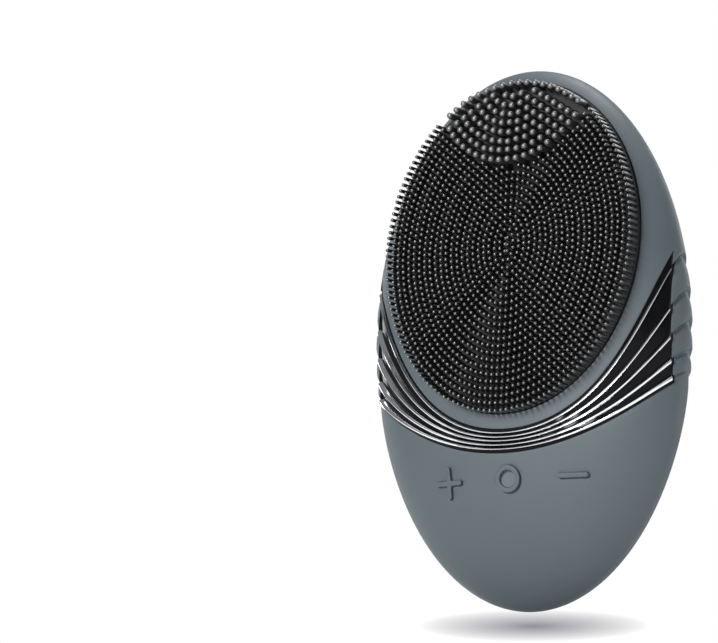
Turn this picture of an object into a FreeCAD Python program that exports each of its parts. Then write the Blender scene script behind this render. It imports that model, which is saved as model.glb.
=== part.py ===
"""Hand-held silicone face brush, drawn as the pieces it comes apart into (millimetres).

The body is two half ellipsoids that meet on the seam plane y = 0: the brush side faces -Y,
the massage side faces +Y, and +Z runs up from the grip to the brush head. The origin is the
centre of the grip, on the seam plane and level with the three keys.
"""
import FreeCAD, Part
import math
import os

from FreeCAD import Vector as V

# Driving dimensions
BODY_WIDTH = 78.0
BODY_LENGTH = 120.0
FRONT_DEPTH = 13.2            # seam plane to the crown of the brush side
REAR_DEPTH = 9.8              # seam plane to the crown of the massage side
CENTRE_Z = 32.0               # body centre above the keys
SKIN = 1.5                    # silicone skin
SHELL_GAP = 0.1
SHELL = 1.4                   # hard shells under the skin
SHELL_OUT = SKIN + SHELL_GAP
SHELL_IN = SHELL_OUT + SHELL
FIT = 0.15                    # gap all round an inlaid piece

# Brush pad: an ellipse seen from the front, on a flat that leans back towards the top
PAD_HALF_WIDTH = 30.6
PAD_HALF_HEIGHT = 37.5
PAD_Z = 51.5
PAD_FOOT_Y = -12.6            # the flat at the lower end of the pad
PAD_HEAD_Y = -4.1             # the flat at its upper end
PAD_SHEET = 1.2
FINE_LENGTH = 3.6
THICK_LENGTH = 5.8
THICK_REACH = 19.4            # thick bristles stand this near the upper end

# Waist belt: five lines that fan out from the middle of the waist to the sides
BELT_CENTRE_Z = [10.1, 9.2, 8.4, 7.5, 6.6]
BELT_SIDE_Z = [51.8, 40.8, 33.2, 27.0, 22.6]
GROOVE_DEPTH = 0.7
TRIM_HALF_WIDTH = 36.4
TRIM_SINK = 0.15
RIB_PROUD = 0.35
RIB_SEAT = 0.9
RIB_GAP = 0.05                # between a rib and its seat

# Massage side
PANEL_HALF_WIDTH = 30.0
PANEL_HALF_HEIGHT = 52.3
PANEL_Z = 29.7
WAVE_Z = [50.7, 40.9, 31.5, 22.2]
WAVE_HALF_WIDTH = [11.0, 13.7, 17.0, 18.0]
WAVE_RISE = [3.4, 5.0, 6.6, 7.0]
WAVE_HEIGHT = 0.4
ISLAND_HALF_WIDTH = 5.0

# Charge light, lightning mark, port stopper and its pull loop
LIGHT_Z = -3.9
LIGHT_RADIUS = 2.05
LIGHT_STEM_RADIUS = 1.5
MARK_DEPTH = 0.3
PLUG_HALF_WIDTH = 2.3
PLUG_Z = (-24.2, -16.2)       # centres of its two round ends
LOOP_HALF_WIDTH = 1.4
LOOP_HOLE_RADIUS = 1.55
LOOP_HOLE_Y = 6.5
LOOP_HOLE_Z = -20.2

# Keys
KEY_PITCH = 15.3
KEY_TRAVEL = 0.4
KEY_BAR = 1.1
KEY_SPAN = 7.2
KEY_RING = 6.0
KEY_PROUD = 0.7
KEY_CLEARANCE = 0.1
KEY_DISC_RADIUS = 3.9
KEY_FLANGE_RADIUS = 4.8
KEY_FLANGE_Y = (-6.0, -5.3)

# Electronics
BOARD_Y = (-3.0, -2.0)
SWITCH_SIZE = 4.5
SWITCH_Y = (-4.5, -3.0)
PLUNGER_RADIUS = 1.1
SOCKET_Z = -16.0
SOCKET_RADIUS = 2.8
SOCKET_BORE = 1.3
SOCKET_TOP = 3.9
BATTERY = (30.0, 6.0, 30.0)
BATTERY_Y = -2.1
BATTERY_Z = 14.0
TRAY_Y = (-3.2, 2.5)
TRAY_FLOOR_TOP = BATTERY_Y - 0.05
TRAY_HALF_WIDTH = 17.0
TRAY_Z = (12.0, 46.0)
TRAY_WALL = 1.2
MOTOR_AXIS = V(0, -0.2, 60.0)
MOTOR_RADIUS = 3.5
MOTOR_X = (-10.0, 4.0)
SLEEVE_WALL = 0.6
SLEEVE_X = (-8.0, 2.0)
SLEEVE_ROOM = 0.05            # gap round the rubber sleeve
CLAMP_X = (-7.0, 1.0)
CLAMP_THICK = 1.3
CLAMP_HALF_HEIGHT = 8.4
WEIGHT_RADIUS = 3.2
WEIGHT_X = (5.5, 10.5)
SHAFT_RADIUS = 0.6

# Fasteners
SHELL_SCREW_HEAD_Y = 2.0
SHELL_SCREW_TIP_Y = -3.0
SCREW_SPOTS = [(-28.0, 50.0), (28.0, 50.0), (-24.5, 2.0), (24.5, 2.0), (0.0, 82.0)]
SCREW_RADIUS = 0.8
BOARD_SPOTS = [(-7.65, 5.0), (7.65, 5.0), (-8.5, -10.0), (8.5, -10.0)]
TRAY_SPOTS = [(-19.5, 29.0), (19.5, 29.0)]
SMALL_SCREW_TIP_Y = -6.0
CLAMP_REACH = 6.8
CLAMP_SCREW_TIP_Y = -4.6
SMALL_SCREW_RADIUS = 0.65
SCREW_HOLE_GAP = 0.15
SHELL_BOSS_RADIUS = 2.3       # round the shell screws, brush side
REAR_BOSS_RADIUS = 2.6        # round the shell screws, massage side
REAR_BOSS_WELL = 1.9          # lets the screw head down into the rear boss
BOARD_BOSS_RADIUS = 1.8
TRAY_BOSS_RADIUS = 2.2
SEAM_HALF_GAP = 0.25          # the gasket fills it
LEAD_RADIUS = 0.45

FRONT = -1
REAR = 1
FAR = 40.0                    # longer than the body is deep


# Solids shared by several pieces

def body(side, inset):
    """Half ellipsoid on one side of the seam plane, smaller than the outside by inset."""
    depth = (FRONT_DEPTH if side == FRONT else REAR_DEPTH) - inset
    scale = FreeCAD.Matrix()
    scale.scale(BODY_WIDTH / 2 - inset, depth, BODY_LENGTH / 2 - inset)
    ball = Part.makeSphere(1.0, V(0, 0, 0), V(0, 1, 0), -90, 90, 360).transformGeometry(scale)
    ball.translate(V(0, 0, CENTRE_Z))
    low = -FAR if side == FRONT else 0.0
    return ball.common(Part.makeBox(4 * FAR, FAR, 4 * FAR, V(-2 * FAR, low, CENTRE_Z - 2 * FAR)))


def layer(side, outer, inner):
    """Wall of the body between two insets."""
    return body(side, outer).cut(body(side, inner))


def prism(edges, y_low, y_high):
    """Outline in the XZ plane, extruded along Y."""
    face = Part.Face(Part.Wire(edges))
    face.translate(V(0, y_low, 0))
    return face.extrude(V(0, y_high - y_low, 0))


def side_prism(edges, side):
    """Outline extruded from the seam plane out through one side of the body."""
    return prism(edges, -FAR, 0.0) if side == FRONT else prism(edges, 0.0, FAR)


def rod(x, z, radius, y_low, y_high):
    """Round bar along Y."""
    return Part.makeCylinder(radius, y_high - y_low, V(x, y_low, z), V(0, 1, 0))


def bar_x(radius, x_low, x_high, y, z):
    """Round bar along X."""
    return Part.makeCylinder(radius, x_high - x_low, V(x_low, y, z), V(1, 0, 0))


def block(x, y, z):
    """Box from three (low, high) pairs."""
    return Part.makeBox(x[1] - x[0], y[1] - y[0], z[1] - z[0], V(x[0], y[0], z[0]))


def curve(height, x_from, x_to, steps=12):
    """Smooth edge in the XZ plane through z = height(x)."""
    points = [V(x_from + (x_to - x_from) * i / steps, 0, 0) for i in range(steps + 1)]
    for point in points:
        point.z = height(point.x)
    spline = Part.BSplineCurve()
    spline.interpolate(points)
    return spline.toShape()


def line(x1, z1, x2, z2):
    return Part.LineSegment(V(x1, 0, z1), V(x2, 0, z2)).toShape()


def arc(x1, z1, x2, z2, x3, z3):
    return Part.Arc(V(x1, 0, z1), V(x2, 0, z2), V(x3, 0, z3)).toShape()


def screw(x, z, y_head, y_tip, radius, head_radius, head_height):
    """Pan head screw driven towards -Y with its head on y_head."""
    slot = block((x - 0.2, x + 0.2), (y_head + head_height - 0.35, FAR), (z - 1.0, z + 1.0))
    slot = slot.fuse(block((x - 1.0, x + 1.0), (y_head + head_height - 0.35, FAR), (z - 0.2, z + 0.2)))
    head = rod(x, z, head_radius, y_head, y_head + head_height).cut(slot)
    return head.fuse(rod(x, z, radius, y_tip, y_head)).removeSplitter()


def lead(points, radius, bend):
    """Round wire along straight runs joined by tangent arcs."""
    edges = []
    start = points[0]
    for before, corner, after in zip(points, points[1:], points[2:]):
        back = (before - corner).normalize()
        ahead = (after - corner).normalize()
        half = back.getAngle(ahead) / 2
        reach = bend / math.tan(half)
        middle = (back + ahead).normalize() * (bend / math.sin(half) - bend)
        first = corner + back * reach
        last = corner + ahead * reach
        edges.append(Part.LineSegment(start, first).toShape())
        edges.append(Part.Arc(first, corner + middle, last).toShape())
        start = last
    edges.append(Part.LineSegment(start, points[-1]).toShape())
    section = Part.Wire(Part.Circle(points[0], points[1] - points[0], radius).toShape())
    return Part.Wire(edges).makePipeShell([section], True, True)


# Waist belt

def belt_line(index, x):
    """Height of one belt line at distance x from the middle."""
    t = (x / (BODY_WIDTH / 2)) ** 2
    bow = 0.42 - 0.09 * index
    rise = BELT_SIDE_Z[index] - BELT_CENTRE_Z[index]
    return BELT_CENTRE_Z[index] + rise * ((1 - bow) * t + bow * t * t)


def belt_width(x):
    """A belt line is finest at the middle, where all five run close together."""
    return 0.45 + 0.75 * abs(x) / (BODY_WIDTH / 2)


def belt_strip(index, x_low, x_high, extra=0.0):
    """Outline of one belt line between two distances from the middle."""
    def low(x):
        return belt_line(index, x) - belt_width(x) / 2 - extra

    def high(x):
        return belt_line(index, x) + belt_width(x) / 2 + extra

    return [curve(low, x_low, x_high), line(x_high, low(x_high), x_high, high(x_high)),
            curve(high, x_high, x_low), line(x_low, high(x_low), x_low, low(x_low))]


def grooves(side, x_low, x_high):
    """The five grooves of the belt, as the material they take out of the skin."""
    keep = body(side, GROOVE_DEPTH)
    cuts = [side_prism(belt_strip(i, x_low, x_high), side).cut(keep) for i in range(5)]
    return cuts[0].fuse(cuts[1:])


def trim_outline(gap):
    """Fan-shaped plate under the pad that narrows to a point towards each side."""
    end = TRIM_HALF_WIDTH - gap

    def top(x):
        return belt_line(0, x) + 0.8 + 3.0 * (x / TRIM_HALF_WIDTH) ** 4 - gap

    def bottom(x):
        return belt_line(4, x) - 1.0 + gap

    return [curve(bottom, -end, end), line(end, bottom(end), end, top(end)),
            curve(top, end, -end), line(-end, top(-end), -end, bottom(-end))]


def trim_band():
    plate = layer(FRONT, TRIM_SINK, SKIN).common(side_prism(trim_outline(FIT), FRONT))
    floor = body(FRONT, RIB_SEAT)
    end = TRIM_HALF_WIDTH + FIT
    for index in range(5):
        strip = side_prism(belt_strip(index, -end, end, RIB_GAP), FRONT)
        plate = plate.cut(strip.cut(floor))
    return plate


def chrome_rib(index):
    end = TRIM_HALF_WIDTH - FIT
    strip = side_prism(belt_strip(index, -end, end), FRONT)
    return layer(FRONT, -RIB_PROUD, RIB_SEAT - RIB_GAP).common(strip)


# Brush side

def pad_outline(gap):
    ellipse = Part.Ellipse(V(0, 0, PAD_Z + PAD_HALF_HEIGHT - gap),
                           V(PAD_HALF_WIDTH - gap, 0, PAD_Z), V(0, 0, PAD_Z))
    return [ellipse.toShape()]


def pad_flat_y(z):
    """The flat that carries the pad."""
    share = (z - PAD_Z + PAD_HALF_HEIGHT) / (2 * PAD_HALF_HEIGHT)
    return PAD_FOOT_Y + (PAD_HEAD_Y - PAD_FOOT_Y) * share


def before_flat(sink):
    """Everything in front of a plane let in by sink behind the pad's flat."""
    low, high = -2 * FAR, 4 * FAR
    corners = [V(-FAR, -2 * FAR, low), V(-FAR, pad_flat_y(low) + sink, low),
               V(-FAR, pad_flat_y(high) + sink, high), V(-FAR, -2 * FAR, high)]
    return Part.Face(Part.makePolygon(corners + corners[:1])).extrude(V(2 * FAR, 0, 0))


def pocketed(inset):
    """Front half body with the pad's flat let into it, everything inset alike."""
    spare = inset - SHELL_OUT
    pocket = prism(pad_outline(-spare), -FAR, 0.0).common(before_flat(PAD_SHEET + SHELL_GAP + spare))
    return body(FRONT, inset).cut(pocket)


def bristle_pad():
    """Silicone sheet with its field of bristles, as the space that the bristles fill."""
    column = prism(pad_outline(FIT), -FAR, 0.0)
    under = body(FRONT, SKIN).cut(before_flat(PAD_SHEET))
    fine = column.cut(under).cut(before_flat(-FINE_LENGTH))
    near_top = rod(0, PAD_Z + PAD_HALF_HEIGHT, THICK_REACH, -FAR, pad_flat_y(PAD_Z + PAD_HALF_HEIGHT))
    thick = column.common(near_top).common(before_flat(0.0)).cut(before_flat(-THICK_LENGTH))
    inside = body(FRONT, SKIN + 3.0)
    return fine.cut(inside).fuse(thick).removeSplitter()


KEY_X = {"plus": -KEY_PITCH, "power": 0.0, "minus": KEY_PITCH}


def key_bar(angle, extra):
    """Round-ended bar through x = z = 0, extruded out through the brush side."""
    half = KEY_SPAN / 2 + extra
    thick = KEY_BAR / 2 + extra
    bar = prism([line(-half + thick, -thick, half - thick, -thick),
                 arc(half - thick, -thick, half, 0, half - thick, thick),
                 line(half - thick, thick, -half + thick, thick),
                 arc(-half + thick, thick, -half, 0, -half + thick, -thick)], -FAR, 0)
    bar.rotate(V(0, 0, 0), V(0, 1, 0), angle)
    return bar


def key_shape(name, extra=0.0):
    """Outline that a key fills in the skin: a bar, a cross or a round."""
    if name == "minus":
        shape = key_bar(0, extra)
    elif name == "plus":
        shape = key_bar(0, extra).fuse(key_bar(90, extra)).removeSplitter()
    else:
        shape = rod(0, 0, KEY_RING / 2 + extra, -FAR, 0)
    shape.translate(V(KEY_X[name], 0, 0))
    return shape


def key(name):
    """Raised mark on a disc behind the skin, with a flange that the shell keeps in."""
    x = KEY_X[name]
    disc = rod(x, 0, KEY_DISC_RADIUS, -FAR, KEY_FLANGE_Y[0]).common(body(FRONT, SHELL_OUT))
    flange = rod(x, 0, KEY_FLANGE_RADIUS, *KEY_FLANGE_Y).common(body(FRONT, SHELL_IN + FIT))
    stem = key_shape(name).common(body(FRONT, -KEY_PROUD))
    if name == "power":
        hollow = rod(x, 0, KEY_RING / 2 - KEY_BAR, -FAR, 0).cut(body(FRONT, 0.0))
        stem = stem.cut(hollow)
    stem = stem.cut(block((-FAR, FAR), (KEY_FLANGE_Y[0], FAR), (-FAR, FAR)))
    return stem.fuse([disc, flange]).removeSplitter()


def front_skin():
    skin = layer(FRONT, 0.0, SKIN)
    skin = skin.cut(side_prism(pad_outline(0.0), FRONT))
    skin = skin.cut(side_prism(trim_outline(0.0), FRONT))
    edge = TRIM_HALF_WIDTH + 0.6
    for low, high in ((-BODY_WIDTH / 2, -edge), (edge, BODY_WIDTH / 2)):
        skin = skin.cut(grooves(FRONT, low, high))
    for name in KEY_X:
        skin = skin.cut(key_shape(name, KEY_CLEARANCE))
    return skin


def front_shell():
    wall = pocketed(SHELL_OUT).cut(pocketed(SHELL_IN))
    wall = wall.cut(block((-FAR, FAR), (-SEAM_HALF_GAP, FAR), (-3 * FAR, 3 * FAR)))
    room = pocketed(SHELL_OUT + 0.4)
    for x, z in SCREW_SPOTS:
        wall = wall.fuse(rod(x, z, SHELL_BOSS_RADIUS, -FAR, 0.3).common(extended(room)))
    for x, z in BOARD_SPOTS:
        wall = wall.fuse(rod(x, z, BOARD_BOSS_RADIUS, -FAR, BOARD_Y[0]).common(room))
    for x, z in TRAY_SPOTS:
        wall = wall.fuse(rod(x, z, TRAY_BOSS_RADIUS, -FAR, TRAY_Y[0]).common(room))
    saddle = block(CLAMP_X, (-FAR, MOTOR_AXIS.y),
                   (MOTOR_AXIS.z - CLAMP_HALF_HEIGHT, MOTOR_AXIS.z + CLAMP_HALF_HEIGHT))
    wall = wall.fuse(saddle.common(room))
    wall = wall.cut(bar_x(MOTOR_RADIUS + SLEEVE_WALL + SLEEVE_ROOM, SLEEVE_X[0] - FIT, SLEEVE_X[1] + FIT,
                          MOTOR_AXIS.y, MOTOR_AXIS.z))
    for x, z in SCREW_SPOTS:
        wall = wall.cut(rod(x, z, SCREW_RADIUS, SHELL_SCREW_TIP_Y, FAR))
    for x, z in BOARD_SPOTS + TRAY_SPOTS:
        wall = wall.cut(rod(x, z, SMALL_SCREW_RADIUS, SMALL_SCREW_TIP_Y, FAR))
    for z in (MOTOR_AXIS.z - CLAMP_REACH, MOTOR_AXIS.z + CLAMP_REACH):
        wall = wall.cut(rod(-3, z, SMALL_SCREW_RADIUS, CLAMP_SCREW_TIP_Y, FAR))
    for x in KEY_X.values():
        wall = wall.cut(rod(x, 0, KEY_DISC_RADIUS + 0.3, -FAR, -5.0))
    return wall


def extended(half):
    """Half body with a short straight collar across the seam plane, for bosses that cross it."""
    return half.fuse(block((-33, 33), (-1.0, 1.0), (-10, 85)))


# Massage side

def panel_outline(gap):
    """Half ellipse above, and the first belt line below."""
    wide = PANEL_HALF_WIDTH - gap
    tall = PANEL_HALF_HEIGHT - gap
    crown = Part.Ellipse(V(0, 0, PANEL_Z + tall), V(wide, 0, PANEL_Z), V(0, 0, PANEL_Z))

    def low(x):
        return belt_line(0, x) + gap

    above, below = 0.0, math.pi
    while below - above > 1e-9:
        turn = (above + below) / 2
        if PANEL_Z + tall * math.cos(turn) > low(wide * math.sin(turn)):
            above = turn
        else:
            below = turn
    corner = wide * math.sin(above)
    return [Part.ArcOfEllipse(crown, -above, above).toShape(), curve(low, -corner, corner)]


def wave(index):
    """One raised massage ridge: a shallow arc with a gentle upper flank."""
    half = WAVE_HALF_WIDTH[index]

    def centre(x):
        return WAVE_Z[index] + WAVE_RISE[index] * (x / half) ** 2

    def low(x):
        return centre(x) - 0.5

    def high(x):
        return centre(x) + 1.9 * (1 - (x / half) ** 2) + 0.3

    return [curve(low, -half, half), line(half, low(half), half, high(half)),
            curve(high, half, -half), line(-half, high(-half), -half, low(-half))]


def massage_panel():
    panel = layer(REAR, 0.0, SKIN).common(side_prism(panel_outline(FIT), REAR))
    proud = layer(REAR, -WAVE_HEIGHT, 0.6)
    ridges = [side_prism(wave(i), REAR).common(proud) for i in range(4)]
    return panel.fuse(ridges).removeSplitter()


def lower_outline(gap):
    """Butterfly shape: two lobes hang from an arched top edge, either side of the island."""
    inner = ISLAND_HALF_WIDTH + gap
    island_z = -4.7
    top = 5.6 - gap
    tip_x = 26.5 - 1.5 * gap
    tip_z = 12.0 - gap
    lobe_x = 8.6
    lobe_z = -15.7 + gap
    round_z = -12.6
    side = [arc(inner, round_z, 6.0 + gap / 2, lobe_z + 0.9, lobe_x, lobe_z),
            arc(lobe_x, lobe_z, 20.4 - gap, -4.0, tip_x, tip_z)]
    mirror = []
    for edge in side:
        twin = edge.mirror(V(0, 0, 0), V(1, 0, 0))
        mirror.append(twin)
    return [line(inner, island_z, inner, round_z)] + side + [
        arc(tip_x, tip_z, 0, top, -tip_x, tip_z)] + mirror + [
        line(-inner, round_z, -inner, island_z),
        arc(-inner, island_z, 0, island_z + inner, inner, island_z)]


def ordered(edges):
    """Edges of one closed outline, sorted end to end."""
    return Part.__sortEdges__(edges)


def lower_panel():
    return layer(REAR, 0.0, SKIN).common(side_prism(ordered(lower_outline(FIT)), REAR))


def charge_mark():
    """Small lightning mark between the light and the port."""
    corners = [(0.5, -7.4), (-1.1, -10.5), (-0.15, -10.5), (-0.5, -13.0), (1.1, -9.8), (0.15, -9.8)]
    edges = [line(*a, *b) for a, b in zip(corners, corners[1:] + corners[:1])]
    return side_prism(edges, REAR)


def plug_outline(gap):
    half = PLUG_HALF_WIDTH - gap
    low, high = PLUG_Z
    return [line(half, low, half, high), arc(half, high, 0, high + half, -half, high),
            line(-half, high, -half, low), arc(-half, low, 0, low - half, half, low)]


def rear_skin():
    skin = layer(REAR, 0.0, SKIN)
    skin = skin.cut(grooves(REAR, -BODY_WIDTH / 2, BODY_WIDTH / 2))
    skin = skin.cut(side_prism(panel_outline(0.0), REAR))
    skin = skin.cut(side_prism(ordered(lower_outline(0.0)), REAR))
    skin = skin.cut(rod(0, LIGHT_Z, LIGHT_RADIUS, 0, FAR))
    skin = skin.cut(charge_mark().cut(body(REAR, MARK_DEPTH)))
    return skin.cut(prism(plug_outline(0.0), 0.8, FAR))


def rear_shell():
    wall = layer(REAR, SHELL_OUT, SHELL_IN)
    wall = wall.cut(block((-FAR, FAR), (-FAR, SEAM_HALF_GAP), (-3 * FAR, 3 * FAR)))
    for x, z in SCREW_SPOTS:
        wall = wall.fuse(rod(x, z, REAR_BOSS_RADIUS, 0.4, FAR).common(body(REAR, SHELL_OUT)))
    for x, z in SCREW_SPOTS:
        wall = wall.cut(rod(x, z, SCREW_RADIUS + 0.2, -FAR, FAR))
        wall = wall.cut(rod(x, z, REAR_BOSS_WELL, SHELL_SCREW_HEAD_Y, FAR))
    wall = wall.cut(rod(0, LIGHT_Z, LIGHT_STEM_RADIUS + 0.2, -FAR, FAR))
    return wall.cut(rod(0, SOCKET_Z, SOCKET_RADIUS + 0.2, -FAR, FAR))


def seam_gasket():
    """Soft ring that seals the two shells along the seam."""
    ring = []
    for inset in (SHELL_OUT + 0.1, SHELL_IN - 0.1):
        ellipse = Part.Ellipse(V(0, 0, CENTRE_Z + BODY_LENGTH / 2 - inset),
                               V(BODY_WIDTH / 2 - inset, 0, CENTRE_Z), V(0, 0, CENTRE_Z))
        ring.append(prism([ellipse.toShape()], -SEAM_HALF_GAP, SEAM_HALF_GAP))
    return ring[0].cut(ring[1])


def light_pipe():
    head = rod(0, LIGHT_Z, LIGHT_RADIUS - 0.05, 0, FAR).common(layer(REAR, 0.1, SKIN))
    stem = rod(0, LIGHT_Z, LIGHT_STEM_RADIUS, -0.9, FAR).common(extended(body(REAR, SKIN - 0.2)))
    return head.fuse(stem).removeSplitter()


def charge_led():
    lamp = block((-0.8, 0.8), (BOARD_Y[1], -1.2), (LIGHT_Z - 0.6, LIGHT_Z + 0.6))
    dome = Part.makeSphere(0.4, V(0, -1.25, LIGHT_Z))
    return lamp.fuse(dome.common(block((-1, 1), (-1.3, -0.9), (LIGHT_Z - 1, LIGHT_Z + 1))))


def port_plug():
    """Silicone stopper for the charging port, with a loop to pull it out by."""
    head = prism(plug_outline(FIT), 0.9, FAR).common(layer(REAR, 0.0, SKIN))
    profile = Part.BSplineCurve()
    profile.interpolate([V(0, 4.6, -14.9), V(0, 7.9, -15.7), V(0, 9.2, -18.2), V(0, 9.1, -21.2),
                         V(0, 7.4, -24.2), V(0, 4.6, -26.0), V(0, 2.4, -26.2)])
    base = Part.LineSegment(V(0, 2.4, -26.2), V(0, 4.6, -14.9)).toShape()
    loop = Part.Face(Part.Wire([profile.toShape(), base]))
    loop.translate(V(-LOOP_HALF_WIDTH, 0, 0))
    loop = loop.extrude(V(2 * LOOP_HALF_WIDTH, 0, 0))
    loop = loop.cut(bar_x(LOOP_HOLE_RADIUS, -2, 2, LOOP_HOLE_Y, LOOP_HOLE_Z))
    loop = loop.cut(body(REAR, 0.5))
    pin = rod(0, SOCKET_Z, SOCKET_BORE - 0.1, -0.3, 5.2)
    collar = rod(0, SOCKET_Z, 1.9, SOCKET_TOP + FIT, 5.2)
    return head.fuse([loop, pin, collar]).removeSplitter()


# Inside

def main_board():
    edges = [line(-19, 8, 19, 8), line(19, 8, 19, -8), line(19, -8, 8.5, -19),
             line(8.5, -19, -8.5, -19), line(-8.5, -19, -19, -8), line(-19, -8, -19, 8)]
    board = prism(edges, *BOARD_Y)
    for x, z in BOARD_SPOTS:
        board = board.cut(rod(x, z, SMALL_SCREW_RADIUS + SCREW_HOLE_GAP, -FAR, FAR))
    return board


def switch_body(name):
    """Tact switch on the board, with the well that its plunger moves in."""
    x = KEY_X[name]
    half = SWITCH_SIZE / 2
    case = block((x - half, x + half), SWITCH_Y, (-half, half))
    return case.cut(rod(x, 0, PLUNGER_RADIUS + 0.1, -FAR, SWITCH_Y[0] + 1.1))


def switch_plunger(name):
    """Pin that the key pushes, sunk a little way into its switch."""
    return rod(KEY_X[name], 0, PLUNGER_RADIUS, KEY_FLANGE_Y[1], SWITCH_Y[0] + 0.6)


def charge_socket():
    case = rod(0, SOCKET_Z, SOCKET_RADIUS, BOARD_Y[1], SOCKET_TOP)
    foot = block((-3.2, 3.2), (BOARD_Y[1], 0.0), (SOCKET_Z - 3.0, SOCKET_Z + 3.2))
    return case.fuse(foot).removeSplitter().cut(rod(0, SOCKET_Z, SOCKET_BORE, -1.0, FAR))


def battery_cell():
    width, thick, height = BATTERY
    cell = block((-width / 2, width / 2), (BATTERY_Y, BATTERY_Y + thick), (BATTERY_Z, BATTERY_Z + height))
    upright = [e for e in cell.Edges if abs(e.tangentAt(e.FirstParameter).z) > 0.9]
    return cell.makeFillet(1.5, upright)


def battery_foam():
    pad = block((-12, 12), (BATTERY_Y + BATTERY[1], FAR), (BATTERY_Z + 3, BATTERY_Z + BATTERY[2] - 3))
    return pad.common(body(REAR, SHELL_IN + 0.05))


def battery_tray():
    """Open box that holds the battery, with an ear for a screw on each side."""
    wide = (-TRAY_HALF_WIDTH, TRAY_HALF_WIDTH)
    inside = block((wide[0] + TRAY_WALL, wide[1] - TRAY_WALL), (TRAY_FLOOR_TOP, FAR),
                   (TRAY_Z[0] + TRAY_WALL, TRAY_Z[1] - TRAY_WALL))
    tray = block(wide, TRAY_Y, TRAY_Z).cut(inside)
    ear = 2.5
    base = (TRAY_Y[0], TRAY_FLOOR_TOP)
    for x, z in TRAY_SPOTS:
        root = math.copysign(TRAY_HALF_WIDTH - TRAY_WALL, x)
        tray = tray.fuse(rod(x, z, ear, *base))
        tray = tray.fuse(block((min(x, root), max(x, root)), base, (z - ear, z + ear)))
        tray = tray.cut(rod(x, z, SMALL_SCREW_RADIUS + SCREW_HOLE_GAP, -FAR, FAR))
    lead_notch = block((2, 9), (-1, FAR), (TRAY_Z[0] - 1, TRAY_Z[0] + 1.5))
    return tray.cut(lead_notch).removeSplitter()


def motor_can():
    can = bar_x(MOTOR_RADIUS, *MOTOR_X, MOTOR_AXIS.y, MOTOR_AXIS.z)
    boss = bar_x(1.3, MOTOR_X[1], MOTOR_X[1] + 0.8, MOTOR_AXIS.y, MOTOR_AXIS.z)
    bore = bar_x(SHAFT_RADIUS + 0.05, -8.0, 10.0, MOTOR_AXIS.y, MOTOR_AXIS.z)
    return can.fuse(boss).removeSplitter().cut(bore)


def motor_sleeve():
    sleeve = bar_x(MOTOR_RADIUS + SLEEVE_WALL, *SLEEVE_X, MOTOR_AXIS.y, MOTOR_AXIS.z)
    return sleeve.cut(bar_x(MOTOR_RADIUS, SLEEVE_X[0] - 1, SLEEVE_X[1] + 1, MOTOR_AXIS.y, MOTOR_AXIS.z))


def motor_shaft():
    return bar_x(SHAFT_RADIUS, -7.5, WEIGHT_X[1] + 0.5, MOTOR_AXIS.y, MOTOR_AXIS.z)


def eccentric_weight():
    disc = bar_x(WEIGHT_RADIUS, *WEIGHT_X, MOTOR_AXIS.y, MOTOR_AXIS.z)
    hub = bar_x(1.4, *WEIGHT_X, MOTOR_AXIS.y, MOTOR_AXIS.z)
    away = block((0, 20), (-FAR, FAR), (MOTOR_AXIS.z, MOTOR_AXIS.z + 20))
    return disc.cut(away).fuse(hub).removeSplitter().cut(
        bar_x(SHAFT_RADIUS, 0, 20, MOTOR_AXIS.y, MOTOR_AXIS.z))


def motor_clamp():
    """Saddle strap that holds the motor in its rubber sleeve against the front shell."""
    inner = MOTOR_RADIUS + SLEEVE_WALL + SLEEVE_ROOM
    strap = bar_x(inner + CLAMP_THICK, *CLAMP_X, MOTOR_AXIS.y, MOTOR_AXIS.z)
    low = MOTOR_AXIS.y + 0.1
    ears = block(CLAMP_X, (low, low + CLAMP_THICK),
                 (MOTOR_AXIS.z - CLAMP_HALF_HEIGHT, MOTOR_AXIS.z + CLAMP_HALF_HEIGHT))
    clamp = strap.fuse(ears).cut(bar_x(inner, *SLEEVE_X, MOTOR_AXIS.y, MOTOR_AXIS.z))
    clamp = clamp.cut(block(SLEEVE_X, (-FAR, low), (0, 100)))
    for z in (MOTOR_AXIS.z - CLAMP_REACH, MOTOR_AXIS.z + CLAMP_REACH):
        clamp = clamp.cut(rod(-3, z, SMALL_SCREW_RADIUS + SCREW_HOLE_GAP, -FAR, FAR))
    return clamp.removeSplitter()


def battery_leads():
    routes = []
    on_board = BOARD_Y[1] + LEAD_RADIUS
    for x in (3.0, 4.8):
        routes.append(lead([V(x, 1.4, 13.9), V(x, 1.4, 9.8), V(x, on_board, 6.6), V(x, on_board, 3.6)],
                           LEAD_RADIUS, 1.5))
    return Part.Compound(routes)


def motor_leads():
    routes = []
    for shift in (0.0, 1.1):
        x = -23.6 + shift
        start = MOTOR_AXIS.z + 1 - shift
        routes.append(lead([V(MOTOR_X[0], -1.3, start), V(-15.5, -1.3, start), V(x, -1.3, start - 9),
                            V(x, -1.3, 12), V(-16.2 + shift, -1.5, 6.0), V(-16.2 + shift, -1.5, 2.5)],
                           LEAD_RADIUS, 2.5))
    return Part.Compound(routes)


def screw_group(spots, y_head, y_tip, radius, head_radius, head_height):
    return Part.Compound([screw(x, z, y_head, y_tip, radius, head_radius, head_height) for x, z in spots])


def clamp_screws():
    spots = [(-3, MOTOR_AXIS.z - CLAMP_REACH), (-3, MOTOR_AXIS.z + CLAMP_REACH)]
    return screw_group(spots, MOTOR_AXIS.y + 0.1 + CLAMP_THICK, CLAMP_SCREW_TIP_Y, SMALL_SCREW_RADIUS,
                       1.2, 0.8)


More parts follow.
